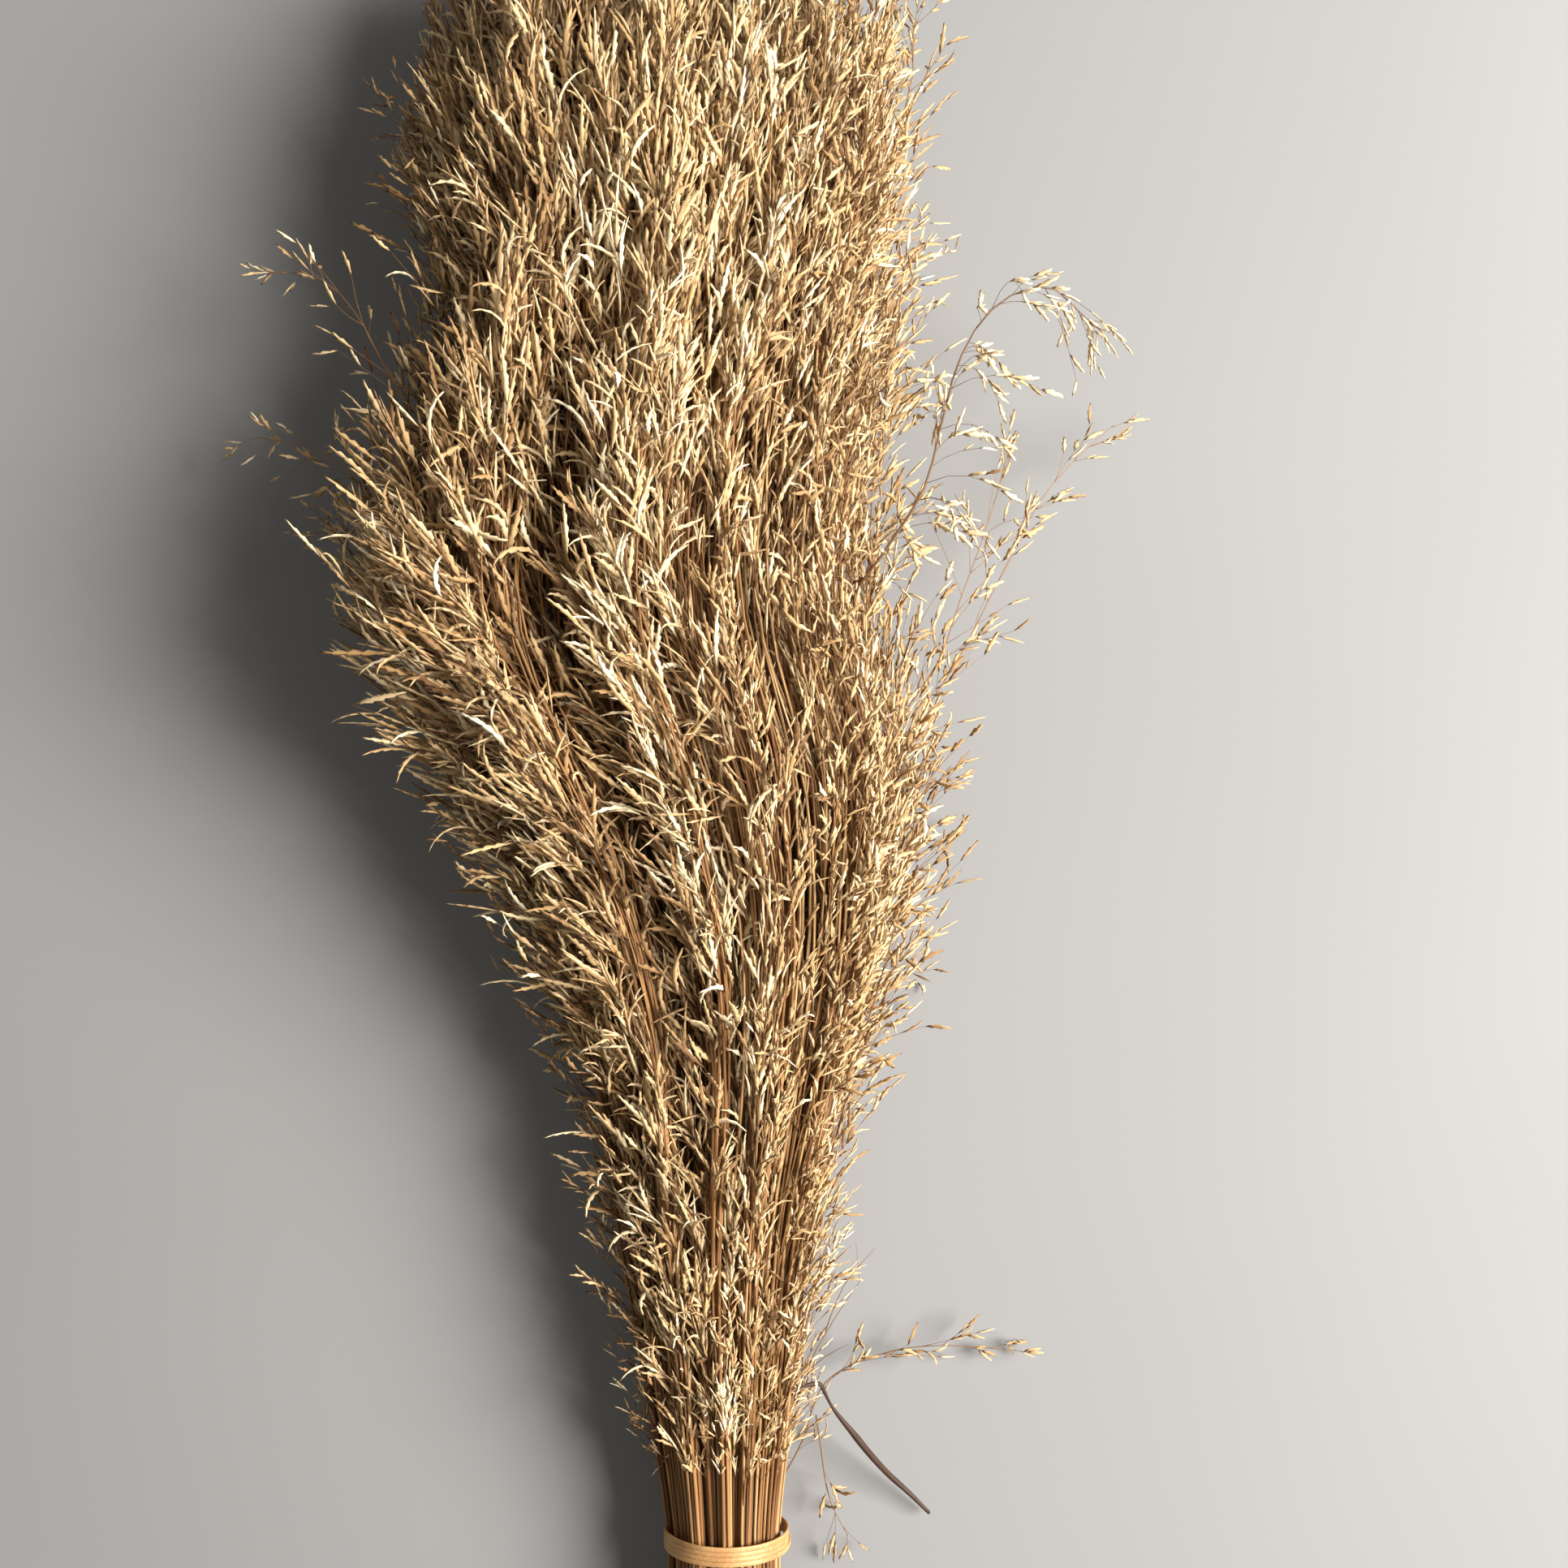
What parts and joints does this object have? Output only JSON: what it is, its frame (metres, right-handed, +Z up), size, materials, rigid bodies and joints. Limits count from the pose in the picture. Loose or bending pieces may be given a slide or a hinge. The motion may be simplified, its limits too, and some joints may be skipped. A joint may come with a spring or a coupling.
{
  "type": "bundle of dried oats",
  "caption": "Long bundle of dried oat stalks with dense, fanned seed heads and stray stalks on both sides, tied at the stems with a rubber band and lying on its side.",
  "frame": {"origin": "on the ground, under the middle of the whole bundle's box", "axes": "+Y along the stalks from the cut ends to the seed heads, +Z up from the ground, +X to the right when seen from above with the heads at the top"},
  "size_m": [0.3808, 0.8516, 0.1342],
  "materials": {
    "oat_straw": "dry, matt, slightly silky straw",
    "stray_straw": "dry, matt straw",
    "dark_straw": "dry, weathered brown straw",
    "rubber_band": "plain tan rubber, satin"
  },
  "bodies": {
    "root": {"arching_stalk": "dark_straw", "broken_straw": "dark_straw", "drooping_wisp": "stray_straw", "far_reaching_stalk": "stray_straw", "left_high_stalk": "stray_straw", "left_low_stalk": "stray_straw", "left_middle_stalk": "stray_straw", "low_side_stalk": "stray_straw", "slender_stalk": "stray_straw", "sprig_01": "oat_straw", "sprig_02": "oat_straw", "sprig_03": "oat_straw", "sprig_04": "oat_straw", "sprig_05": "oat_straw", "sprig_06": "oat_straw", "sprig_07": "oat_straw", "sprig_08": "oat_straw", "sprig_09": "oat_straw", "sprig_10": "oat_straw", "sprig_11": "oat_straw", "sprig_12": "oat_straw", "sprig_13": "oat_straw", "sprig_14": "oat_straw", "sprig_15": "oat_straw", "sprig_16": "oat_straw", "sprig_17": "oat_straw", "sprig_18": "oat_straw", "sprig_19": "oat_straw", "sprig_20": "oat_straw", "sprig_21": "oat_straw", "sprig_22": "oat_straw", "sprig_23": "oat_straw", "sprig_24": "oat_straw", "sprig_25": "oat_straw", "sprig_26": "oat_straw", "sprig_27": "oat_straw", "sprig_28": "oat_straw", "sprig_29": "oat_straw", "sprig_30": "oat_straw", "sprig_31": "oat_straw", "sprig_32": "oat_straw", "sprig_33": "oat_straw", "sprig_34": "oat_straw", "sprig_35": "oat_straw", "sprig_36": "oat_straw", "sprig_37": "oat_straw", "sprig_38": "oat_straw", "sprig_39": "oat_straw", "sprig_40": "oat_straw", "sprig_41": "oat_straw", "sprig_42": "oat_straw", "sprig_43": "oat_straw", "sprig_44": "oat_straw", "sprig_45": "oat_straw", "sprig_46": "oat_straw", "sprig_47": "oat_straw", "sprig_48": "oat_straw", "tie_band": "rubber_band"}
  },
  "joints": []
}
